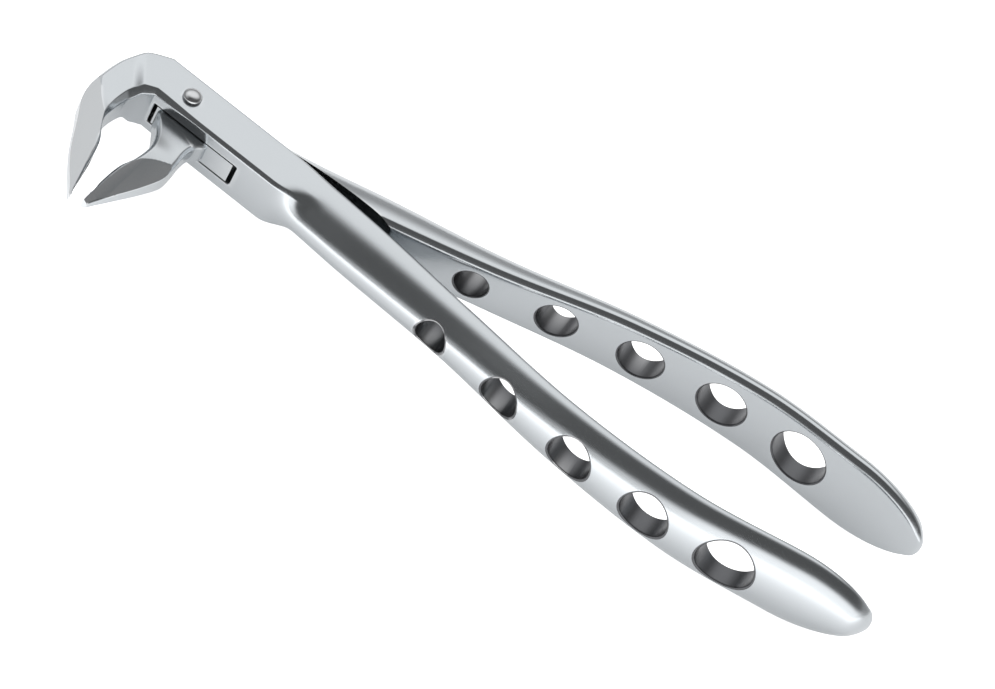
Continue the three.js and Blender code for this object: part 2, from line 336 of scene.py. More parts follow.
def flat_sided(
    width: float, ridge: float, edge: float, fall: float, joint: JointSizes = JOINT
) -> np.ndarray:
    """Upper half of a section with flat sides.

    Args:
        width: Distance from back to front.
        ridge: Half height at the back.
        edge: Half height at the front.
        fall: Height of the chamfer along the front edge.
        joint: Sizes of the chamfer at the back and of the small round on every corner.

    Returns:
        Rows of distance from the back and height.
    """
    chamfer, ease = joint.chamfer, joint.corner_round
    rise, fall = min(chamfer, ridge * RIDGE_SHARE), min(fall, edge * EDGE_SHARE)
    inset, drawn = min(chamfer, width * INSET_SHARE), min(fall, width * INSET_SHARE)
    corners = [
        (0, 0),
        (0, ridge - rise),
        (inset, ridge),
        (width - drawn, edge),
        (width, edge - fall),
        (width, 0),
    ]
    rounds = [eased_corner(*corners[k - 1 : k + 2], ease, PLAN.corner) for k in range(1, 5)]
    stretches = [
        np.linspace(corners[0], rounds[0][0], PLAN.flat + 1)[:-1],
        rounds[0],
        rounds[1],
        np.linspace(rounds[1][-1], rounds[2][0], PLAN.crown + 1)[1:-1],
        rounds[2],
        rounds[3],
        np.linspace(rounds[3][-1], corners[5], PLAN.side + 1)[1:],
    ]
    return np.vstack(stretches)


def round_backed(flat_half: float, thickness: float, chamfer: float, ease: float) -> np.ndarray:
    """Upper half of a handle's section: flat inner face, chamfer and half-elliptic back.

    Args:
        flat_half: Half height of the flat inner face.
        thickness: Distance from the flat to the middle of the back.
        chamfer: Chamfer along the flat.
        ease: Small round on the chamfer's corners.

    Returns:
        Rows of distance from the flat and height.
    """
    shoulder_from, shoulder_to = math.radians(PLAN.shoulder_from), math.radians(PLAN.shoulder_to)

    def back_point(angle: float) -> Point:
        """Point on the back, by its angle from the flat's edge."""
        reach = (thickness - chamfer) * math.sin(angle)
        return chamfer + reach, (flat_half + chamfer) * math.cos(angle)

    flat_corner, back_corner = (0.0, flat_half), (chamfer, flat_half + chamfer)
    first = eased_corner((0.0, 0.0), flat_corner, back_corner, ease, PLAN.corner)
    second = eased_corner(flat_corner, back_corner, back_point(PLAN.lean), ease, PLAN.corner)
    share = np.clip((second[-1][0] - chamfer) / max(thickness - chamfer, TINY), 0, 1)
    start = math.asin(float(share))
    crown = np.linspace(start, shoulder_from, PLAN.crown + 1)[1:-1]
    shoulder = np.linspace(shoulder_from, shoulder_to, PLAN.shoulder)
    side = np.linspace(shoulder_to, math.pi / 2, PLAN.side + 1)[1:]
    angles = np.concatenate([crown, shoulder, side])
    return np.vstack([
        np.linspace((0.0, 0.0), first[0], PLAN.flat + 1)[:-1],
        first,
        second,
        np.array([back_point(a) for a in angles]),
    ])


def ring(back: Point, front: Point, upper: np.ndarray) -> np.ndarray:
    """Closed ring in space from a section's upper half, mirrored about z = 0.

    Args:
        back: Plan point where the section starts.
        front: Plan point that the section runs towards.
        upper: Rows of distance from the back and height.

    Returns:
        The ring's points.
    """
    across = np.array(front, float) - np.array(back, float)
    across /= np.linalg.norm(across)
    lower = upper[1:-1][::-1] * (1, -1)
    both = np.vstack([upper, lower])
    plan = np.array(back, float) + across * both[:, :1]
    return np.column_stack([plan, both[:, 1]])


# ------------------------------------------------------------------ mesh tools
class Surface(Enum):
    """Finish of a face, as its place among a half's material slots; bore walls take steel painted dark
    as the shade inside the holes.
    """

    SATIN = 0
    BORE_SHADE = 1
    SCRAPED = 2


class Joining(Enum):
    """What a boolean does with the other solid."""

    CUT = "DIFFERENCE"
    JOIN = "UNION"


def scratch_object(bm: bmesh.types.BMesh, surface: Surface = Surface.SATIN) -> bpy.types.Object:
    """Object for a working solid, with its faces pointing out.

    Args:
        bm: The solid, freed by the function.
        surface: Finish of all its faces.

    Returns:
        The new object, with one empty material slot for each Surface.
    """
    bmesh.ops.recalc_face_normals(bm, faces=bm.faces)
    for face in bm.faces:
        face.material_index = surface.value
        face.smooth = True
    mesh = bpy.data.meshes.new("working")
    bm.to_mesh(mesh)
    bm.free()
    for _ in Surface:
        mesh.materials.append(None)
    obj = bpy.data.objects.new("working", mesh)
    bpy.context.scene.collection.objects.link(obj)
    return obj


def loft(rings: Sequence[np.ndarray]) -> bmesh.types.BMesh:
    """Closed solid through rings.

    Args:
        rings: Rings with equal numbers of points, in order.

    Returns:
        The closed solid.
    """
    bm = bmesh.new()
    rows = [[bm.verts.new(p) for p in points] for points in rings]
    count = len(rows[0])
    for a, b in zip(rows, rows[1:]):
        for k in range(count):
            n = (k + 1) % count
            bm.faces.new((a[k], a[n], b[n], b[k]))
    bm.faces.new(rows[0])
    bm.faces.new(rows[-1])
    return bm


def prism(outline: Sequence[Point], low: float, high: float) -> bmesh.types.BMesh:
    """Upright prism over a plan outline."""
    return loft([np.array([(x, y, z) for x, y in outline]) for z in (low, high)])


def lathe(profile: Sequence[Point], steps: int) -> bmesh.types.BMesh:
    """Solid of revolution about Z.

    Args:
        profile: Radius and height pairs, starting and ending on the axis.
        steps: Number of stretches round the axis.

    Returns:
        The closed solid.
    """
    bm = bmesh.new()
    angles = [2 * math.pi * k / steps for k in range(steps)]
    rows = []
    for radius, height in profile:
        if radius < TINY:
            rows.append([bm.verts.new((0, 0, height))] * steps)
        else:
            circle = [(radius * math.cos(a), radius * math.sin(a), height) for a in angles]
            rows.append([bm.verts.new(p) for p in circle])
    for a, b in zip(rows, rows[1:]):
        for k in range(steps):
            n = (k + 1) % steps
            corners = list(dict.fromkeys((a[k], a[n], b[n], b[k])))
            if len(corners) > 2:
                bm.faces.new(corners)
    return bm


def combined(
    body: bpy.types.Object, others: Sequence[bpy.types.Object], how: Joining
) -> bpy.types.Object:
    """Cuts other solids from a body, or joins them to it.

    Args:
        body: The solid that stays.
        others: Solids used up by the operation.
        how: Whether the other solids are cut away or joined on.

    Returns:
        The body with its new mesh.
    """
    for other in others:
        modifier = body.modifiers.new("cut", "BOOLEAN")
        modifier.operation = how.value
        modifier.solver = "EXACT"
        modifier.object = other
    bpy.context.view_layer.update()
    evaluated = body.evaluated_get(bpy.context.evaluated_depsgraph_get())
    mesh = bpy.data.meshes.new_from_object(evaluated)
    body.modifiers.clear()
    body.data = mesh
    for other in others:
        bpy.data.objects.remove(other)
    return body


def grind_flat(bm: bmesh.types.BMesh, facet: Facet) -> None:
    """Grinds a flat on a beak's upper and lower faces.

    Args:
        bm: The beak.
        facet: Plane of the upper flat; the lower one is its mirror image.
    """
    for side in (1, -1):
        normal = Vector((-facet.slope_x, -facet.slope_y, side))
        geometry = list(bm.verts) + list(bm.edges) + list(bm.faces)
        bmesh.ops.bisect_plane(
            bm,
            geom=geometry,
            dist=CUT_REACH,
            plane_co=(0, 0, side * facet.height),
            plane_no=normal,
            clear_outer=True,
        )
        rim = [e for e in bm.edges if e.is_boundary]
        bmesh.ops.holes_fill(bm, edges=rim, sides=0)


def sharpen(mesh: bpy.types.Mesh, degrees: float) -> None:
    """Marks every edge over an angle as sharp and the rest as smooth.

    Args:
        mesh: Mesh in millimetres.
        degrees: Least bend of a sharp edge.
    """
    bm = bmesh.new()
    bm.from_mesh(mesh)
    bmesh.ops.remove_doubles(bm, verts=bm.verts, dist=WELD_REACH)
    bmesh.ops.dissolve_degenerate(bm, edges=bm.edges, dist=COLLAPSE_REACH)
    limit = math.radians(degrees)
    for edge in bm.edges:
        edge.smooth = len(edge.link_faces) != 2 or edge.calc_face_angle(0) < limit
    for face in bm.faces:
        face.smooth = True
    bm.to_mesh(mesh)
    bm.free()


def mark_wear_and_highlight(mesh: bpy.types.Mesh, degrees: float, reach: float) -> None:
    """Stores a mask for a painted edge highlight and edge wearing: 1 on an outer edge, fading to 0.

    Args:
        mesh: Mesh in metres.
        degrees: Least bend of an edge that gets the painted highlight and wearing.
        reach: Distance over which the painted highlight and wearing fade, in metres.
    """
    bm = bmesh.new()
    bm.from_mesh(mesh)
    limit = math.radians(degrees)
    outer = [e for e in bm.edges if len(e.link_faces) == 2 and e.is_convex]
    edges = [e for e in outer if e.calc_face_angle(0) > limit]
    points = {v.index: v.co.copy() for e in edges for v in e.verts}
    bm.free()
    tree = kdtree.KDTree(max(len(points), 1))
    for index, co in points.items():
        tree.insert(co, index)
    tree.balance()
    wear_highlight = mesh.attributes.new("edge_wear_and_highlight", "FLOAT", "POINT")
    values = [max(0.0, 1 - tree.find(v.co)[2] / reach) if points else 0.0 for v in mesh.vertices]
    wear_highlight.data.foreach_set("value", values)


@dataclass(frozen=True)
class Placing:
    """Turn and lift that bring a half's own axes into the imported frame."""

    degrees: float
    lift: float

    def matrix(self) -> Matrix:
        """Matrix from the half's millimetres to the frame's metres."""
        turn = Matrix.Rotation(math.radians(self.degrees), 4, "Z")
        return Matrix.Scale(MM, 4) @ Matrix.Translation((0, 0, self.lift)) @ turn


def finished(
    body: bpy.types.Object, name: str, placing: Placing, materials: Sequence[bpy.types.Material]
) -> bpy.types.Object:
    """Turns a working solid into a finished piece.

    Args:
        body: The working solid, in millimetres.
        name: The piece's name.
        placing: Where it goes in the frame.
        materials: Its material slots in the order of Surface.

    Returns:
        The piece, with its place in its mesh and its object at the origin.
    """
    mesh = body.data
    sharpen(mesh, SHARP_DEGREES)
    mesh.transform(placing.matrix())
    # Mask for the painted edge highlights and edge wearing.
    mark_wear_and_highlight(mesh, WORN_HIGHLIT_DEGREES, WEAR_HIGHLIGHT_REACH)
    while len(mesh.materials) > len(materials):
        mesh.materials.pop()
    for slot, material in enumerate(materials):
        mesh.materials[slot] = material
    weighted = body.modifiers.new("weighted", "WEIGHTED_NORMAL")
    weighted.keep_sharp = True
    bpy.context.view_layer.update()
    evaluated = body.evaluated_get(bpy.context.evaluated_depsgraph_get())
    final = bpy.data.meshes.new_from_object(evaluated)
    body.modifiers.clear()
    body.data = final
    body.name = name
    final.name = name
    LOG.info("%s: %d faces", name, len(final.polygons))
    return body


# ------------------------------------------------------------------ finishes
def feed(tree: bpy.types.NodeTree, node: bpy.types.Node, inputs: Mapping[str | int, object]) -> None:
    """Sets or links a node's inputs.

    Args:
        tree: The tree that holds the node.
        node: The node.
        inputs: A value or an output socket for each input, by the input's name or place.
    """
    for key, value in inputs.items():
        if isinstance(value, bpy.types.NodeSocket):
            tree.links.new(value, node.inputs[key])
        else:
            node.inputs[key].default_value = value


def add_node(
    tree: bpy.types.NodeTree,
    kind: str,
    inputs: Mapping[str | int, object] | None = None,
    **settings: object,
) -> bpy.types.Node:
    """Adds a node to a tree.

    Args:
        tree: The tree.
        kind: The node's type.
        inputs: A value or an output socket for each input, by the input's name or place.
        **settings: The node's own properties.

    Returns:
        The new node.
    """
    node = tree.nodes.new(kind)
    for key, value in settings.items():
        setattr(node, key, value)
    feed(tree, node, inputs or {})
    return node


def add_sockets(
    tree: bpy.types.NodeTree, in_out: str, kind: str, sockets: Mapping[str, object]
) -> None:
    """Adds sockets of one kind to a group.

    Args:
        tree: The group.
        in_out: "INPUT" or "OUTPUT".
        kind: The sockets' kind, such as "Float".
        sockets: Default of each socket by its name, or None for the kind's own.
    """
    for name, value in sockets.items():
        socket = tree.interface.new_socket(name, in_out=in_out, socket_type=f"NodeSocket{kind}")
        if value is not None:
            socket.default_value = value


@dataclass(frozen=True)
class GrainSizes:
    """Detail of the steel's grain, and scale and detail of its cloudy tone."""

    detail: float = 3.0
    contrast: float = 0.6
    cloud_scale: float = 90.0
    cloud_detail: float = 2.0
    bump_reach: float = 0.01 * MM


GRAIN = GrainSizes()


def grain_group() -> bpy.types.NodeTree:
    """Node group for the fine lengthwise grain of ground and blasted steel.

    Returns:
        The group, with roughness, height and clouds as its outputs.
    """
    tree = bpy.data.node_groups.new("fine_grain", "ShaderNodeTree")
    sizes = {"Along": 400, "Across": 4000, "Roughness": 0.3, "Spread": 0.05}
    add_sockets(tree, "INPUT", "Float", sizes)
    add_sockets(tree, "OUTPUT", "Float", {"Roughness": None, "Height": None, "Clouds": None})
    given = add_node(tree, "NodeGroupInput").outputs
    place = add_node(tree, "ShaderNodeTexCoord").outputs["Object"]
    across = given["Across"]
    scale = add_node(tree, "ShaderNodeCombineXYZ", {"X": given["Along"], "Y": across, "Z": across})
    stretched = add_node(
        tree, "ShaderNodeVectorMath", {0: place, 1: scale.outputs["Vector"]}, operation="MULTIPLY"
    )
    noise = add_node(
        tree,
        "ShaderNodeTexNoise",
        {
            "Vector": stretched.outputs["Vector"],
            "Scale": 1.0,
            "Detail": GRAIN.detail,
            "Roughness": GRAIN.contrast,
        },
    )
    clouds = add_node(
        tree,
        "ShaderNodeTexNoise",
        {"Vector": place, "Scale": GRAIN.cloud_scale, "Detail": GRAIN.cloud_detail},
    )
    centred = add_node(
        tree, "ShaderNodeMath", {0: noise.outputs["Fac"], 1: 0.5}, operation="SUBTRACT"
    )
    rough = add_node(
        tree,
        "ShaderNodeMath",
        {0: centred.outputs["Value"], 1: given["Spread"], 2: given["Roughness"]},
        operation="MULTIPLY_ADD",
        use_clamp=True,
    )
    results = {
        "Roughness": rough.outputs["Value"],
        "Height": noise.outputs["Fac"],
        "Clouds": clouds.outputs["Fac"],
    }
    add_node(tree, "NodeGroupOutput", results)
    return tree


def wear_and_highlight_group() -> bpy.types.NodeTree:
    """Node group that paints a bright highlight on outer edges and makes them smoother, as from
    wearing.

    Returns:
        The group, with color and roughness as its outputs.
    """
    tree = bpy.data.node_groups.new("edges_worn_and_highlit", "ShaderNodeTree")
    add_sockets(tree, "INPUT", "Color", {"Color": None, "Bright": None})
    add_sockets(tree, "INPUT", "Float", {"Roughness": None, "Polished": 0.2, "Amount": 0.6})
    add_sockets(tree, "OUTPUT", "Color", {"Color": None})
    add_sockets(tree, "OUTPUT", "Float", {"Roughness": None})
    given = add_node(tree, "NodeGroupInput").outputs
    wear_highlight = add_node(tree, "ShaderNodeAttribute", attribute_name="edge_wear_and_highlight")
    mask = add_node(
        tree,
        "ShaderNodeMath",
        {0: wear_highlight.outputs["Fac"], 1: given["Amount"]},
        operation="MULTIPLY",
        use_clamp=True,
    ).outputs["Value"]
    # Painted highlight: outer edges take a brighter colour.
    color = add_node(
        tree,
        "ShaderNodeMix",
        {"Factor": mask, 6: given["Color"], 7: given["Bright"]},
        data_type="RGBA",
    )
    # Wearing: outer edges get a lower roughness.
    rough = add_node(
        tree,
        "ShaderNodeMix",
        {"Factor": mask, 2: given["Roughness"], 3: given["Polished"]},
        data_type="FLOAT",
    )
    add_node(tree, "NodeGroupOutput", {"Color": color.outputs[2], "Roughness": rough.outputs[0]})
    return tree


@dataclass(frozen=True)
class SteelFinish:
    """Finish of one kind of steel surface."""

    name: str
    color: tuple[float, float, float]
    # Colour painted on outer edges as a highlight.
    bright: tuple[float, float, float]
    roughness: float
    spread: float
    polished: float
    # Share of the painted edge highlight and of the edge smoothing.
    wear_and_highlight: float
    along: float
    across: float
    bump: float
    mottle: float

    def material(self, grain: bpy.types.NodeTree, wear_and_highlight: bpy.types.NodeTree) -> bpy.types.Material:
        """Builds the material.

        Args:
            grain: The fine_grain node group.
            wear_and_highlight: The node group that paints edge highlights and smooths edges.

        Returns:
            The new material.
        """
        material = bpy.data.materials.new(self.name)
        material.use_nodes = True
        tree = material.node_tree
        sizes = {
            "Along": self.along,
            "Across": self.across,
            "Roughness": self.roughness,
            "Spread": self.spread,
        }
        fine = add_node(tree, "ShaderNodeGroup", sizes, node_tree=grain)
        dull = (*(c * (1 - self.mottle) for c in self.color), 1)
        tone = add_node(
            tree,
            "ShaderNodeMix",
            {"Factor": fine.outputs["Clouds"], 6: dull, 7: (*self.color, 1)},
            data_type="RGBA",
        )
        # Outer edges: a painted bright highlight in the colour, and lower roughness from wearing.
        wear_highlight_inputs = {
            "Color": tone.outputs[2],
            "Bright": (*self.bright, 1),
            "Roughness": fine.outputs["Roughness"],
            "Polished": self.polished,
            "Amount": self.wear_and_highlight,
        }
        edges = add_node(tree, "ShaderNodeGroup", wear_highlight_inputs, node_tree=wear_and_highlight)
        height = {
            "Strength": self.bump,
            "Distance": GRAIN.bump_reach,
            "Height": fine.outputs["Height"],
        }
        bump = add_node(tree, "ShaderNodeBump", height)
        surface = {
            "Metallic": 1.0,
            "Base Color": edges.outputs["Color"],
            "Roughness": edges.outputs["Roughness"],
            "Normal": bump.outputs["Normal"],
        }
        feed(tree, tree.nodes["Principled BSDF"], surface)
        return material


SATIN_STEEL = SteelFinish(
    name="satin_steel",
    color=(0.515, 0.54, 0.56),
    bright=(0.70, 0.715, 0.73),
    roughness=0.21,
    spread=0.10,
    polished=0.16,
    wear_and_highlight=0.55,
    along=500,
    across=5200,
    bump=0.25,
    mottle=0.03,
)
# Bore walls: steel painted dark as the shade inside the finger holes and the rivet's hole, with painted
# bright highlights on their rims.
BORE_SHADE_STEEL = SteelFinish(
    name="bore_steel_painted_shade",
    color=(0.13, 0.133, 0.14),
    bright=(0.62, 0.625, 0.63),
    roughness=0.34,
    spread=0.12,
    polished=0.18,
    wear_and_highlight=0.5,
    along=6000,
    across=900,
    bump=0.4,
    mottle=0.05,
)
SCRAPED_STEEL = SteelFinish(
    name="ribbed_grip_steel",
    color=(0.44, 0.45, 0.46),
    bright=(0.60, 0.61, 0.62),
    roughness=0.34,
    spread=0.15,
    polished=0.25,
    wear_and_highlight=0.4,
    along=900,
    across=6000,
    bump=0.5,
    mottle=0.06,
)
POLISHED_STEEL = SteelFinish(
    name="polished_steel",
    color=(0.55, 0.56, 0.57),
    bright=(0.68, 0.685, 0.69),
    roughness=0.2,
    spread=0.05,
    polished=0.16,
    wear_and_highlight=0.4,
    along=2500,
    across=2500,
    bump=0.1,
    mottle=0.02,
)


# ------------------------------------------------------------------ handle
@dataclass
class DrilledHandle:
    """Handle with its flat inner face towards +Y of its half, and round finger holes.

    Rings stand a step apart up to the rounded end, where they follow the end's angle in radians
    up to the last one. The hole cutters reach past the rims by the overhang and end in flat caps
    at two distances from the inner face. Their lines start from a guess of the back's depth.
    """

    sizes: HandleSizes = HANDLE
    joint: JointSizes = JOINT
    step: float = 0.6
    end_rings: int = 56
    last_angle: float = 1.535
    slimming_power: float = 0.6
    chamfer_rate: float = 2.0
    least_flat: float = 0.05
    fade_share: float = 0.4
    rim_steps: int = 6
    overhang: tuple[float, float] = (0.3, 0.8)
    caps: tuple[float, float] = (-6.0, 14.0)
    back_guess: float = 4.0
    passes: int = 6

    def __post_init__(self) -> None:
        """Prepares the handle's shape table."""
        self.shape = smooth_table(self.sizes.shape)

    def at(self, x: float) -> np.ndarray:
        """Inner face's offset, flat's half height and thickness at a distance from the pivot."""
        return self.shape((x - self.joint.reach) / (self.sizes.reach - self.joint.reach))

    def end_curve(self, x: float, reach: float) -> float:
        """Quarter circle from 1 to 0 over the last stretch of the handle."""
        left = max(0.0, (x - (self.sizes.reach - reach)) / reach)
        return math.sqrt(max(0.0, 1 - left**2))

    def section(self, x: float, square_until: float) -> np.ndarray:
        """Ring of the handle at a distance from the pivot.

        Args:
            x: Distance from the pivot.
            square_until: Where the square root starts to turn into the round back.

        Returns:
            The ring's points.
        """
        s, j = self.sizes, self.joint
        inner, flat_half, thickness = self.at(x)
        end = max(0.0, (x - (s.reach - s.end_rounding)) / s.end_rounding)
        end_scale = math.sqrt(max(0.0, 1 - end**2))
        slimming = s.end_share + (1 - s.end_share) * end_scale**self.slimming_power
        chamfer = s.chamfer * min(1.0, end_scale * self.chamfer_rate)
        flat = max((flat_half + s.chamfer) * end_scale - chamfer, self.least_flat)
        drawn_in, closing = (self.end_curve(x, reach) for reach in (s.end_flat_round, s.end_back_round))
        recess = s.end_flat_round * (1 - drawn_in)
        depth = s.end_flat_round + (thickness * slimming - s.end_flat_round) * closing - recess
        back = round_backed(flat, depth, min(chamfer, CORNER_SHARE * depth), s.corner_round)
        square = flat_sided(j.width, j.half, j.half, j.chamfer)
        crown = smoothstep(x, square_until, square_until + s.crown_fade)
        side = smoothstep(x, square_until, square_until + s.side_fade)
        turn_at = PLAN.flat + PLAN.shoulder + PLAN.crown
        span = PLAN.crown * self.fade_share
        share = np.clip((np.arange(len(back)) - turn_at + span) / span, 0, 1)
        fade = (crown + (side - crown) * share)[:, None]
        face = inner - recess
        return ring((x, face), (x, face - 1), square * (1 - fade) + back * fade)

    def rings(self, start: float) -> list[np.ndarray]:
        """Rings from the handle's square root to its end.

        Args:
            start: Distance of the first ring from the pivot.

        Returns:
            The rings in order.
        """
        body_end = self.sizes.reach - self.sizes.end_rounding
        places = list(np.arange(start, body_end, self.step))
        angles = np.linspace(0, self.last_angle, self.end_rings + 1)
        places += [body_end + self.sizes.end_rounding * math.sin(a) for a in angles]
        return [self.section(x, start) for x in places]

    def hole_surfaces(self, x: float, outward: float, angle: float) -> tuple[Point, float, float]:
        """Follows one line of a finger hole through the handle.

        Args:
            x: Distance of the hole's middle from the pivot.
            outward: Line's distance from the hole's axis.
            angle: Where the line lies round the axis, in radians.

        Returns:
            The line's plan direction and its depths at the flat and at the back, from the middle.
        """
        tilt = math.radians(self.joint.rest_opening / 2)
        along, into = (math.cos(tilt), math.sin(tilt)), (math.sin(tilt), -math.cos(tilt))
        reach, z = outward * math.cos(angle), outward * math.sin(angle)
        middle = float(self.at(x)[0])

        def depth_left(depth: float, back: bool) -> float:
            """Distance left from a depth on the line to the flat or the back.

            Args:
                depth: Depth on the line.
                back: Whether the back is meant, and not the flat.

            Returns:
                The distance left.
            """
            px = x + reach * along[0] + depth * into[0]
            py = middle + reach * along[1] + depth * into[1]
            inner, flat_half, thickness = self.at(px)
            chamfer = self.sizes.chamfer
            crown = math.sqrt(max(0.0, 1 - (z / (flat_half + chamfer)) ** 2))
            surface = chamfer + (thickness - chamfer) * crown if back else 0.0
            return surface - (inner - py)

        depths = []
        for back in (False, True):
            depth = self.back_guess if back else 0.0
            for _ in range(self.passes):
                depth += depth_left(depth, back)
            depths.append(depth)
        return into, depths[0], depths[1]

    def hole_cutters(self, side: int) -> list[bpy.types.Object]:
        """Cutters for the finger holes, square to the plane between the handles.

        Args:
            side: 1 for the female half, -1 for the male half's mirrored handle.

        Returns:
            One cutter for each hole, with rims rounded into the flat and the back.
        """
        s = self.sizes
        tilt = math.radians(self.joint.rest_opening / 2)
        angles = np.linspace(0, 2 * math.pi, ROUND_STEPS + 1)[:-1]
        turns = np.radians(np.linspace(0, 90, self.rim_steps + 1))
        wider_by, deeper_by = self.overhang
        rims = [(s.hole_bevel + wider_by, -deeper_by, False)]
        for t in turns[::-1]:
            rims.append((s.hole_bevel * (1 - math.cos(t)), s.hole_bevel * (1 - math.sin(t)), False))
        for t in turns:
            rims.append((s.hole_flare * (1 - math.cos(t)), -s.hole_flare * (1 - math.sin(t)), True))
        rims.append((s.hole_flare + wider_by, deeper_by, True))
        cutters = []
        for k, diameter in enumerate(s.hole_diameters):
            x = s.first_hole + k * s.hole_pitch
            middle = float(self.at(x)[0])
            rings = []
            for wider, deeper, back in rims:
                outward = diameter / 2 + wider
                points = []
                for angle in angles:
                    into, *depths = self.hole_surfaces(x, outward, angle)
                    depth = depths[back] + deeper
                    reach = outward * math.cos(angle)
                    px = x + reach * math.cos(tilt) + depth * into[0]
                    py = middle + reach * math.sin(tilt) + depth * into[1]
                    points.append((px, side * py, outward * math.sin(angle)))
                rings.append(np.array(points))
            for at, cap in ((0, self.caps[0]), (-1, self.caps[1])):
                flat = np.array(rings[at])
                turn = np.array((math.sin(tilt), -side * math.cos(tilt), 0))
                start = np.array((x, side * middle, 0))
                flat += np.outer(cap - (flat - start) @ turn, turn)
                rings.insert(0 if at == 0 else len(rings), flat)
            # The bore walls take the steel painted dark as shade.
            cutters.append(scratch_object(loft(rings), Surface.BORE_SHADE))
        return cutters


# ------------------------------------------------------------------ beaks
def beak_rings(stations: Sequence[Station], spacing: float = 0.36) -> list[np.ndarray]:
    """Rings through a beak's stations.

    Args:
        stations: The beak's sections.
        spacing: Distance from one ring to the next, halfway across the beak.

    Returns:
        The rings, from the tip on.
    """
    middles = [(np.array(s.back) + np.array(s.front)) / 2 for s in stations]
    steps = [np.linalg.norm(b - a) for a, b in zip(middles, middles[1:])]
    places = np.concatenate([[0.0], np.cumsum(steps)])
    rows = [[p, *s.back, *s.front, s.ridge, s.edge, s.fall] for p, s in zip(places, stations)]
    through = smooth_table(rows)
    rings = []
    for place in np.linspace(0, places[-1], round(places[-1] / spacing)):
        bx, by, fx, fy, ridge, edge, fall = through(place)
        width = math.hypot(fx - bx, fy - by)
        ridge, edge = min(ridge, JOINT.half), min(edge, JOINT.half)
        upper = flat_sided(width, ridge, edge, fall)
        rings.append(ring((bx, by), (fx, fy), upper))
    return rings


@dataclass
class Grip:
    """Hollow and ribs in the gripping face of one beak."""

    stations: Sequence[Station]
    sizes: GripSizes = GRIP

    def frame(self) -> tuple[Vector, float, float]:
        """Place of the hollow.

        Returns:
            Its middle, its direction from tip to heel in degrees, and its half length.
        """
        tip, heel = Vector(self.stations[0].front), Vector(self.stations[2].front)
        middle = (tip + heel) / 2
        along = heel - tip
        reach = along.length * self.sizes.reach_share
        return middle.to_3d(), math.degrees(math.atan2(along.y, along.x)), reach

    def cutter(self) -> bpy.types.Object:
        """Spoon-shaped cutter for the hollow.

        Returns:
            The cutter, an ellipsoid on the gripping face.
        """
        middle, degrees, reach = self.frame()
        bm = bmesh.new()
        around = self.sizes.segments
        bmesh.ops.create_uvsphere(bm, u_segments=around, v_segments=around // 2, radius=1.0)
        size = Matrix.Diagonal((reach, self.sizes.depth, self.sizes.half_width, 1))
        place = Matrix.Translation(middle) @ Matrix.Rotation(math.radians(degrees), 4, "Z") @ size
        bmesh.ops.transform(bm, matrix=place, verts=bm.verts)
        return scratch_object(bm, Surface.SCRAPED)

    def ribs(self, tree: bpy.types.NodeTree, inward: int, placing: Placing) -> bpy.types.Mesh:
        """Lengthwise ribs that lie in the hollow.

        Args:
            tree: The grip_ribs geometry node group.
            inward: 1 or -1, the side of the face's own Y that lies inside the beak.
            placing: Where the half goes in the frame.

        Returns:
            The ribs' mesh in the frame, in metres.
        """
        middle, degrees, reach = self.frame()
        carrier = bpy.data.objects.new("ribs", bpy.data.meshes.new("ribs"))
        bpy.context.scene.collection.objects.link(carrier)
        modifier = carrier.modifiers.new("ribs", "NODES")
        modifier.node_group = tree
        values = {
            "Count": self.sizes.ribs,
            "Pitch": self.sizes.rib_pitch,
            "Half Length": reach,
            "Half Width": self.sizes.half_width,
            "Depth": self.sizes.depth * inward,
            "Radius": self.sizes.rib_radius,
            "Steel": bpy.data.materials[SCRAPED_STEEL.name],
        }
        for item in tree.interface.items_tree:
            if item.item_type == "SOCKET" and item.in_out == "INPUT" and item.name in values:
                modifier[item.identifier] = values[item.name]
        bpy.context.view_layer.update()
        evaluated = carrier.evaluated_get(bpy.context.evaluated_depsgraph_get())
        mesh = bpy.data.meshes.new_from_object(evaluated)
        place = Matrix.Translation(middle) @ Matrix.Rotation(math.radians(degrees), 4, "Z")
        mesh.transform(placing.matrix() @ place)
        bpy.data.objects.remove(carrier)
        return mesh


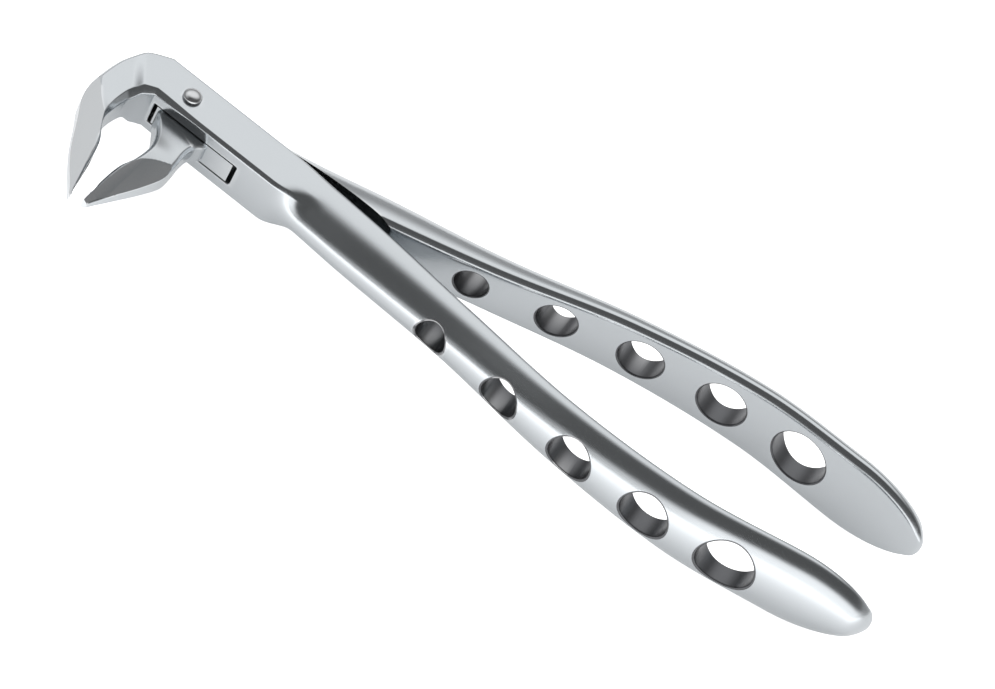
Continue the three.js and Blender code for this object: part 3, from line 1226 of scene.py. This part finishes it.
def rib_tree(steps: int = 40, sides: int = 12) -> bpy.types.NodeTree:
    """Geometry nodes for lengthwise ribs that follow a spoon-shaped hollow.

    Args:
        steps: Points along one rib.
        sides: Points round one rib.

    Returns:
        The geometry node group.
    """
    tree = bpy.data.node_groups.new("grip_ribs", "GeometryNodeTree")
    sizes = {"Pitch": 0.36, "Half Length": 5.0, "Half Width": 1.5, "Depth": 0.5, "Radius": 0.1}
    add_sockets(tree, "INPUT", "Geometry", {"Geometry": None})
    add_sockets(tree, "INPUT", "Int", {"Count": 7})
    add_sockets(tree, "INPUT", "Float", sizes)
    add_sockets(tree, "INPUT", "Material", {"Steel": None})
    add_sockets(tree, "OUTPUT", "Geometry", {"Geometry": None})
    given = add_node(tree, "NodeGroupInput").outputs

    def math_node(operation: str, *values: object) -> bpy.types.NodeSocket:
        """Adds a math node on sockets or numbers and returns its result."""
        node = add_node(tree, "ShaderNodeMath", dict(enumerate(values)), operation=operation)
        return node.outputs[0]

    def share_left(*ratios: bpy.types.NodeSocket) -> bpy.types.NodeSocket:
        """Square root of 1 less the squares of the ratios, never below 0.

        Args:
            *ratios: Results of other nodes.

        Returns:
            The result.
        """
        left: object = 1.0
        for ratio in ratios:
            left = math_node("SUBTRACT", left, math_node("MULTIPLY", ratio, ratio))
        return math_node("SQRT", math_node("MAXIMUM", left, 0.0))

    def vector(**parts: object) -> bpy.types.NodeSocket:
        """Adds a vector made of the named parts."""
        return add_node(tree, "ShaderNodeCombineXYZ", parts).outputs[0]

    spread = math_node("MULTIPLY", math_node("SUBTRACT", given["Count"], 1.0), -0.5)
    row = {
        "Count": given["Count"],
        "Start Location": vector(Z=math_node("MULTIPLY", spread, given["Pitch"])),
        "Offset": vector(Z=given["Pitch"]),
    }
    line = add_node(tree, "GeometryNodeMeshLine", row, mode="OFFSET")

    ends = {"Start": (-1, 0, 0), "End": (1, 0, 0)}
    rib = add_node(tree, "GeometryNodeCurvePrimitiveLine", ends, mode="POINTS")
    fine = add_node(
        tree, "GeometryNodeResampleCurve", {"Curve": rib.outputs["Curve"], "Count": steps}
    )
    outline = add_node(
        tree,
        "GeometryNodeCurvePrimitiveCircle",
        {"Resolution": sides, "Radius": given["Radius"]},
        mode="RADIUS",
    )
    sweep = {
        "Curve": fine.outputs["Curve"],
        "Profile Curve": outline.outputs["Curve"],
        "Fill Caps": True,
    }
    solid = add_node(tree, "GeometryNodeCurveToMesh", sweep)

    where = add_node(tree, "GeometryNodeInputPosition").outputs["Position"]
    split = add_node(tree, "ShaderNodeSeparateXYZ", {"Vector": where})
    across = math_node("DIVIDE", split.outputs["Z"], given["Half Width"])
    length = math_node("MULTIPLY", share_left(across), given["Half Length"])
    placed = {
        "Points": line.outputs["Mesh"],
        "Instance": solid.outputs["Mesh"],
        "Scale": vector(X=length, Y=1.0, Z=1.0),
    }
    copies = add_node(tree, "GeometryNodeInstanceOnPoints", placed)
    real = add_node(
        tree, "GeometryNodeRealizeInstances", {"Geometry": copies.outputs["Instances"]}
    )

    along = math_node("DIVIDE", split.outputs["X"], given["Half Length"])
    sunk = math_node("MULTIPLY", share_left(across, along), given["Depth"])
    bent = add_node(
        tree,
        "GeometryNodeSetPosition",
        {"Geometry": real.outputs["Geometry"], "Offset": vector(Y=sunk)},
    )
    smooth = add_node(
        tree, "GeometryNodeSetShadeSmooth", {"Geometry": bent.outputs["Geometry"]}
    )
    dressed = add_node(
        tree,
        "GeometryNodeSetMaterial",
        {"Geometry": smooth.outputs["Geometry"], "Material": given["Steel"]},
    )
    add_node(tree, "NodeGroupOutput", {"Geometry": dressed.outputs["Geometry"]})
    return tree


# ------------------------------------------------------------------ halves
def rivet_hole(joint: JointSizes) -> bpy.types.Object:
    """Cutter for the rivet's hole through the joint.

    Args:
        joint: The joint's sizes.

    Returns:
        The cutter, twice as long as the joint is thick.
    """
    radius = joint.rivet_diameter / 2 + joint.rivet_clearance
    reach = joint.thickness
    profile = [(0, -reach), (radius, -reach), (radius, reach), (0, reach)]
    # The hole's wall takes the steel painted dark as shade.
    return scratch_object(lathe(profile, ROUND_STEPS), Surface.BORE_SHADE)


@dataclass
class FemaleHalf:
    """Outer beak, box with the window, and near handle.

    The box's rings start just behind the beak and stand a spacing apart. The window's cutter
    reaches past both sides of the box by the overhang.
    """

    joint: JointSizes = JOINT
    handle: DrilledHandle = field(default_factory=DrilledHandle)
    stations: tuple[Station, ...] = FEMALE_BEAK
    facet: Facet = FEMALE_FACET
    box_start: float = 0.5
    box_spacing: float = 0.8
    overhang: float = 1.0
    window_steps: int = 5
    name: str = "female_half_fine"

    @property
    def placing(self) -> Placing:
        """Place of the half in the frame."""
        return Placing(-self.joint.rest_opening / 2, self.joint.half)

    def window_cutter(self) -> bpy.types.Object:
        """Cutter for the window.

        Returns:
            The cutter, with eased corners and with broken edges at both mouths.
        """
        j, reach = self.joint, self.overhang
        mouths = [
            (-j.outer_side - reach, reach + j.slot_break),
            (-j.outer_side + j.slot_break, 0.0),
            (j.inner_side - j.slot_break, 0.0),
            (j.inner_side + reach, reach + j.slot_break),
        ]
        rings = []
        for y, wider in mouths:
            low_x, high_x = -j.slot_front - wider, j.slot_back + wider
            half = j.slot_height / 2 + wider
            corners = [(low_x, -half), (high_x, -half), (high_x, half), (low_x, half)]
            around = zip(corners[-1:] + corners, corners, corners[1:] + corners)
            rounds = [eased_corner(*three, j.slot_round, self.window_steps) for three in around]
            outline = np.vstack(rounds)
            rings.append(np.insert(outline, 1, y, axis=1))
        return scratch_object(loft(rings), Surface.SATIN)

    def build(self) -> bpy.types.Object:
        """Builds the half.

        Returns:
            Its working solid, in its own axes.
        """
        rings = beak_rings(self.stations)
        j, last = self.joint, self.stations[-1]
        for x in np.arange(last.front[0] + self.box_start, j.reach, self.box_spacing):
            fall = last.fall + (j.chamfer - last.fall) * smoothstep(x, last.front[0], j.slot_front)
            square = flat_sided(j.width, j.half, j.half, fall)
            rings.append(ring((x, j.inner_side), (x, -j.outer_side), square))
        bm = loft(rings + self.handle.rings(self.joint.reach))
        grind_flat(bm, self.facet)
        body = scratch_object(bm)
        cutters = [self.window_cutter(), rivet_hole(self.joint), Grip(self.stations).cutter()]
        return combined(body, cutters + self.handle.hole_cutters(1), Joining.CUT)

    def dress(
        self, body: bpy.types.Object, materials: Sequence[bpy.types.Material]
    ) -> bpy.types.Object:
        """Finishes the half and puts it on its body.

        Args:
            body: The working solid.
            materials: Its material slots in the order of Surface.

        Returns:
            The finished piece.
        """
        piece = finished(body, self.name, self.placing, materials)
        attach(piece, "female")
        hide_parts("female_half")
        return piece


@dataclass
class MaleHalf:
    """Inner beak, tongue through the window, and far handle.

    The tongue's front lies an inset behind the box's side. Its round nose spans two angles in
    degrees. Its root laps into the handle, and its corner by the heel stays a drop inside it.
    """

    joint: JointSizes = JOINT
    handle: DrilledHandle = field(default_factory=DrilledHandle)
    stations: tuple[Station, ...] = MALE_BEAK
    facet: Facet = MALE_FACET
    tongue_inset: float = 0.05
    nose_share: float = 0.87
    nose_from: float = 130.0
    nose_to: float = 210.0
    nose_steps: int = 16
    root_lap: float = 0.05
    heel_drop: float = 0.6
    name: str = "male_half_fine"

    @property
    def placing(self) -> Placing:
        """Place of the half in the frame."""
        return Placing(self.joint.rest_opening / 2, self.joint.half)

    def travel(self) -> tuple[float, float]:
        """Joint's limits in degrees, seen from the male half: closing first, then opening."""
        closed, opened = frame["joints"][0]["range_deg"]
        return -closed, -opened

    def box_behind(self) -> list[Point]:
        """Plan outline of what the female half fills towards the male handle.

        Returns:
            The outline, in the female half's axes.
        """
        far = self.handle.sizes.reach / 2
        gap = self.joint.shoulder_clearance
        outline = [(-far, -far), (far, -far)]
        places = np.arange(far, self.joint.reach, -1.0)
        outline += [(x, float(self.handle.at(x)[0]) + gap) for x in places]
        side = self.joint.inner_side + gap
        return outline + [(self.joint.reach, side), (-far, side)]

    def box_before(self) -> list[Point]:
        """Plan outline of what the female half fills towards the male beak.

        Returns:
            The outline, in the female half's axes.
        """
        far = self.handle.sizes.reach / 2
        side = -self.joint.outer_side - self.joint.shoulder_clearance
        return [(-far, side), (far, side), (far, far), (-far, far)]

    def tongue(self) -> list[Point]:
        """Plan outline of the tongue.

        Returns:
            The outline, in the male half's axes.
        """
        j = self.joint
        front = -j.outer_side + self.tongue_inset
        nose = j.slot_front - j.tongue_end_clearance
        heel = math.sqrt((j.slot_back - j.tongue_end_clearance) ** 2 - j.outer_side**2)
        slope = math.tan(math.radians(j.rest_opening))
        root = j.outer_side / math.cos(math.radians(j.rest_opening))
        outline = [
            (-nose * self.nose_share, front),
            (heel, front),
            (heel, root + heel * slope - self.heel_drop),
            (0, root - self.root_lap),
        ]
        angles = np.radians(np.linspace(self.nose_from, self.nose_to, self.nose_steps + 1))
        outline += [(nose * math.cos(a), nose * math.sin(a)) for a in angles]
        return turned(outline, -j.rest_opening)

    def build(self) -> bpy.types.Object:
        """Builds the half.

        Returns:
            Its working solid, in its own axes.
        """
        j = self.joint
        far = self.handle.sizes.reach
        rings = [points * (1, -1, 1) for points in self.handle.rings(j.rivet_diameter)]
        closed, opened = self.travel()
        behind = prism(turned(self.box_behind(), -j.rest_opening + closed), -far, far)
        handle = combined(scratch_object(loft(rings)), [scratch_object(behind)], Joining.CUT)
        bm = loft(beak_rings(self.stations))
        grind_flat(bm, self.facet)
        beak = scratch_object(bm)
        cutters = [Grip(self.stations).cutter()]
        for turn in (closed, opened):
            before = turned(self.box_before(), -j.rest_opening + turn)
            cutters.append(scratch_object(prism(before, j.tongue_half, j.thickness)))
            cutters.append(scratch_object(prism(before, -j.thickness, -j.tongue_half)))
        beak = combined(beak, cutters, Joining.CUT)
        tongue = scratch_object(prism(self.tongue(), -j.tongue_half, j.tongue_half))
        handle = combined(handle, self.handle.hole_cutters(-1), Joining.CUT)
        body = combined(handle, [beak, tongue], Joining.JOIN)
        return combined(body, [rivet_hole(j)], Joining.CUT)

    def dress(
        self, body: bpy.types.Object, materials: Sequence[bpy.types.Material]
    ) -> bpy.types.Object:
        """Finishes the half and puts it on its body.

        Args:
            body: The working solid.
            materials: Its material slots in the order of Surface.

        Returns:
            The finished piece.
        """
        piece = finished(body, self.name, self.placing, materials)
        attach(piece, "male")
        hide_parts("male_half")
        return piece


@dataclass
class PivotRivet:
    """Rivet with a flush lower end and a low domed head."""

    joint: JointSizes = JOINT
    head_diameter: float = 3.4
    head_height: float = 1.15
    head_gap: float = 0.05
    edge_break: float = 0.12
    rim_share: float = 0.24
    dome_steps: int = 18
    name: str = "pivot_rivet_fine"

    def build(self) -> bpy.types.Object:
        """Builds the rivet.

        Returns:
            Its working solid, with the lower end at z = 0.
        """
        shank, head = self.joint.rivet_diameter / 2, self.head_diameter / 2
        seat = self.joint.thickness + self.head_gap
        rim = seat + self.head_height * self.rim_share
        profile = [(0, 0), (shank - self.edge_break, 0), (shank, self.edge_break), (shank, seat)]
        profile += [(head - self.edge_break, seat), (head, seat + self.edge_break), (head, rim)]
        dome = self.head_height * (1 - self.rim_share)
        angles = np.radians(np.linspace(0, 90, self.dome_steps + 1))[1:-1]
        profile += [(head * math.cos(a), rim + dome * math.sin(a)) for a in angles]
        profile.append((0, rim + dome))
        return scratch_object(lathe(profile, ROUND_STEPS))

    def dress(
        self, body: bpy.types.Object, materials: Sequence[bpy.types.Material]
    ) -> bpy.types.Object:
        """Finishes the rivet and puts it on its body.

        Args:
            body: The working solid.
            materials: Its material slots in the order of Surface.

        Returns:
            The finished piece.
        """
        piece = finished(body, self.name, Placing(-self.joint.rest_opening / 2, 0), materials)
        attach(piece, "female")
        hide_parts("pivot_rivet")
        return piece


def add_ribs(
    half: FemaleHalf | MaleHalf, tree: bpy.types.NodeTree, inward: int, body: str
) -> bpy.types.Object:
    """Adds the ribs in one beak's gripping face.

    Args:
        half: The half whose beak has them.
        tree: The grip_ribs geometry node group.
        inward: 1 or -1, the side of the face's own Y that lies inside the beak.
        body: Body that they ride on.

    Returns:
        The ribs as one piece.
    """
    mesh = Grip(half.stations).ribs(tree, inward, half.placing)
    piece = bpy.data.objects.new(f"{body}_grip_ribs", mesh)
    bpy.context.scene.collection.objects.link(piece)
    # Mask for the painted edge highlights and edge wearing on the ribs.
    mark_wear_and_highlight(mesh, RIB_WORN_HIGHLIT_DEGREES, RIB_WEAR_HIGHLIGHT_REACH)
    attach(piece, body)
    LOG.info("%s: %d faces", piece.name, len(mesh.polygons))
    return piece


# ------------------------------------------------------------------ studio
@dataclass(frozen=True)
class Panel:
    """Soft light panel on the studio's walls, with its middle and half sizes in degrees."""

    azimuth: float
    elevation: float
    half_width: float
    half_height: float
    softness: float
    radiance: float

    def axes(self) -> tuple[Vector, Vector, Vector]:
        """Directions that place the panel.

        Returns:
            Directions to the panel's middle, across it and up it.
        """
        a, e = math.radians(self.azimuth), math.radians(self.elevation)
        middle = Vector((math.cos(a) * math.cos(e), math.sin(a) * math.cos(e), math.sin(e)))
        across = Vector((-math.sin(a), math.cos(a), 0))
        return middle, across, middle.cross(across)


def panel_group() -> bpy.types.NodeTree:
    """Node group for the light of one soft panel in a direction.

    Returns:
        The group, with the light as its output.
    """
    tree = bpy.data.node_groups.new("soft_panel", "ShaderNodeTree")
    parts = ("Middle", "Across", "Up")
    add_sockets(tree, "INPUT", "Vector", dict.fromkeys(("Ray", *parts)))
    add_sockets(tree, "INPUT", "Float", {"Softness": None, "Radiance": None})
    add_sockets(tree, "OUTPUT", "Float", {"Light": None})
    given = add_node(tree, "NodeGroupInput").outputs

    def math_node(operation: str, a: object, b: object) -> bpy.types.NodeSocket:
        """Adds a math node on sockets or numbers and returns its result."""
        return add_node(tree, "ShaderNodeMath", {0: a, 1: b}, operation=operation).outputs[0]

    ahead, right, high = (
        add_node(
            tree, "ShaderNodeVectorMath", {0: given["Ray"], 1: given[name]}, operation="DOT_PRODUCT"
        ).outputs["Value"]
        for name in parts
    )
    plane = add_node(tree, "ShaderNodeCombineXYZ", {"X": right, "Y": high}).outputs[0]
    away = add_node(tree, "ShaderNodeVectorMath", {0: plane}, operation="LENGTH")
    edge = {
        "Value": away.outputs["Value"],
        "From Min": math_node("SUBTRACT", 1.0, given["Softness"]),
        "From Max": math_node("ADD", 1.0, given["Softness"]),
        "To Min": given["Radiance"],
        "To Max": 0.0,
    }
    fade = add_node(tree, "ShaderNodeMapRange", edge, interpolation_type="SMOOTHSTEP")
    lit = math_node("MULTIPLY", fade.outputs["Result"], math_node("GREATER_THAN", ahead, 0.0))
    add_node(tree, "NodeGroupOutput", {"Light": lit})
    return tree


@dataclass
class Studio:
    """Plain pale floor, soft light panels and a lamp, in metres.

    The floor's own light rises by the front glow between two places on Y.
    """

    ambient: float = 0.13
    panels: tuple[Panel, ...] = (
        Panel(azimuth=98, elevation=57, half_width=34, half_height=27, softness=0.35, radiance=0.6),
        Panel(
            azimuth=122, elevation=54, half_width=46, half_height=27,
            softness=0.35, radiance=0.55,
        ),
        Panel(azimuth=-58, elevation=10, half_width=46, half_height=16, softness=0.4, radiance=1.6),
        Panel(
            azimuth=180, elevation=42, half_width=35, half_height=20,
            softness=0.5, radiance=0.35,
        ),
        Panel(azimuth=30, elevation=10, half_width=40, half_height=18, softness=0.5, radiance=0.3),
        Panel(azimuth=110, elevation=6, half_width=60, half_height=20, softness=0.5, radiance=0.35),
    )
    floor_glow: float = 0.42
    front_glow: float = 1.15
    backlight: float = 0.5
    glow_from: float = -0.01
    glow_to: float = -0.07
    floor_radius: float = 2.5
    floor_tone: float = 0.86
    floor_roughness: float = 0.9
    lamp_power: float = 8.0
    lamp_size: float = 1.6
    lamp_place: tuple[float, float, float] = (0.06, 0.25, 1.3)
    lamp_aim: tuple[float, float, float] = (0.06, 0.0, 0.0)

    def build_surroundings(self) -> None:
        """Builds the world: a dim room with soft panels."""
        world = bpy.data.worlds.new("studio")
        bpy.context.scene.world = world
        world.use_nodes = True
        tree = world.node_tree
        group = panel_group()
        ray = add_node(tree, "ShaderNodeTexCoord").outputs["Generated"]
        total: object = self.ambient
        for panel in self.panels:
            middle, across, up = panel.axes()
            sides = {
                "Ray": ray,
                "Middle": middle,
                "Across": across / math.sin(math.radians(panel.half_width)),
                "Up": up / math.sin(math.radians(panel.half_height)),
                "Softness": panel.softness,
                "Radiance": panel.radiance,
            }
            light = add_node(tree, "ShaderNodeGroup", sides, node_tree=group).outputs["Light"]
            total = add_node(tree, "ShaderNodeMath", {0: light, 1: total}, operation="ADD").outputs[0]
        feed(tree, tree.nodes["Background"], {"Color": total})

    def build_floor(self) -> bpy.types.Object:
        """Builds a wide plain floor under the object's lowest point, brighter towards the front.

        Returns:
            The floor.
        """
        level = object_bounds()[0][2]
        bm = bmesh.new()
        bmesh.ops.create_circle(bm, cap_ends=True, segments=ROUND_STEPS, radius=self.floor_radius)
        bmesh.ops.translate(bm, verts=bm.verts, vec=(0, 0, level))
        mesh = bpy.data.meshes.new("floor")
        bm.to_mesh(mesh)
        bm.free()
        floor = bpy.data.objects.new("floor", mesh)
        bpy.context.scene.collection.objects.link(floor)
        paint = bpy.data.materials.new("pale_floor")
        paint.use_nodes = True
        tree = paint.node_tree
        place = add_node(tree, "ShaderNodeTexCoord").outputs["Object"]
        split = add_node(tree, "ShaderNodeSeparateXYZ", {0: place})
        rise = {
            "Value": split.outputs["Y"],
            "From Min": self.glow_from,
            "From Max": self.glow_to,
            "To Min": self.floor_glow,
            "To Max": self.floor_glow + self.front_glow,
        }
        glow = add_node(tree, "ShaderNodeMapRange", rise, interpolation_type="SMOOTHSTEP")
        seen = add_node(tree, "ShaderNodeLightPath").outputs["Is Camera Ray"]
        white = add_node(
            tree,
            "ShaderNodeMath",
            {0: seen, 1: self.backlight, 2: glow.outputs["Result"]},
            operation="MULTIPLY_ADD",
        )
        surface = {
            "Base Color": (self.floor_tone, self.floor_tone, self.floor_tone, 1),
            "Roughness": self.floor_roughness,
            "Specular IOR Level": 0.0,
            "Emission Color": (1, 1, 1, 1),
            "Emission Strength": white.outputs["Value"],
        }
        feed(tree, tree.nodes["Principled BSDF"], surface)
        mesh.materials.append(paint)
        floor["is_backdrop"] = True
        return floor

    def build_lamp(self) -> bpy.types.Object:
        """Builds the large overhead softbox that lights the floor.

        Returns:
            The lamp.
        """
        light = bpy.data.lights.new("overhead_softbox", "AREA")
        light.shape = "DISK"
        light.size = self.lamp_size
        light.energy = self.lamp_power
        lamp = bpy.data.objects.new("overhead_softbox", light)
        lamp.location = self.lamp_place
        aim = Vector(self.lamp_aim) - lamp.location
        lamp.rotation_euler = aim.to_track_quat("-Z", "Y").to_euler()
        lamp.visible_glossy = False
        bpy.context.scene.collection.objects.link(lamp)
        return lamp


@dataclass
class ViewCamera:
    """Camera with a long lens, set by where it looks from, in millimetres and degrees."""

    aim: tuple[float, float, float] = (65.87, 0.67, -0.03)
    azimuth: float = -84.592
    elevation: float = 47.497
    roll: float = -29.498
    distance: float = 1200.0
    lens: float = 255.3
    sensor_width: float = 36.0
    nearest: float = 10.0
    farthest: float = 20000.0

    def build(self) -> bpy.types.Object:
        """Builds the camera and makes it the scene's.

        Returns:
            The camera.
        """
        a, e = math.radians(self.azimuth), math.radians(self.elevation)
        back = Vector((math.cos(a) * math.cos(e), math.sin(a) * math.cos(e), math.sin(e)))
        data = bpy.data.cameras.new("camera")
        data.lens = self.lens
        data.sensor_width = self.sensor_width
        data.clip_start = self.nearest * MM
        data.clip_end = self.farthest * MM
        camera = bpy.data.objects.new("camera", data)
        turn = (-back).to_track_quat("-Z", "Y").to_matrix().to_4x4()
        spin = Matrix.Rotation(math.radians(-self.roll), 4, "Z")
        place = Matrix.Translation((Vector(self.aim) + back * self.distance) * MM)
        camera.matrix_world = place @ turn @ spin
        bpy.context.scene.collection.objects.link(camera)
        bpy.context.scene.camera = camera
        return camera


def main() -> None:
    """Builds the pieces in order and reports each."""
    logging.basicConfig(level=logging.INFO, format="%(name)s %(message)s")
    grain, wear_and_highlight = grain_group(), wear_and_highlight_group()
    satin, bore_shade, scraped, polished = (
        f.material(grain, wear_and_highlight) for f in (SATIN_STEEL, BORE_SHADE_STEEL, SCRAPED_STEEL, POLISHED_STEEL)
    )
    female, male, rivet = FemaleHalf(), MaleHalf(), PivotRivet()
    female.dress(female.build(), [satin, bore_shade, scraped])
    male.dress(male.build(), [satin, bore_shade, scraped])
    rivet.dress(rivet.build(), [polished])
    tree = rib_tree()
    add_ribs(female, tree, 1, "female")
    add_ribs(male, tree, -1, "male")
    studio = Studio()
    studio.build_floor()
    studio.build_surroundings()
    studio.build_lamp()
    ViewCamera().build()
    bpy.context.scene.view_settings.view_transform = "Standard"


if __name__ == "__main__":
    main()
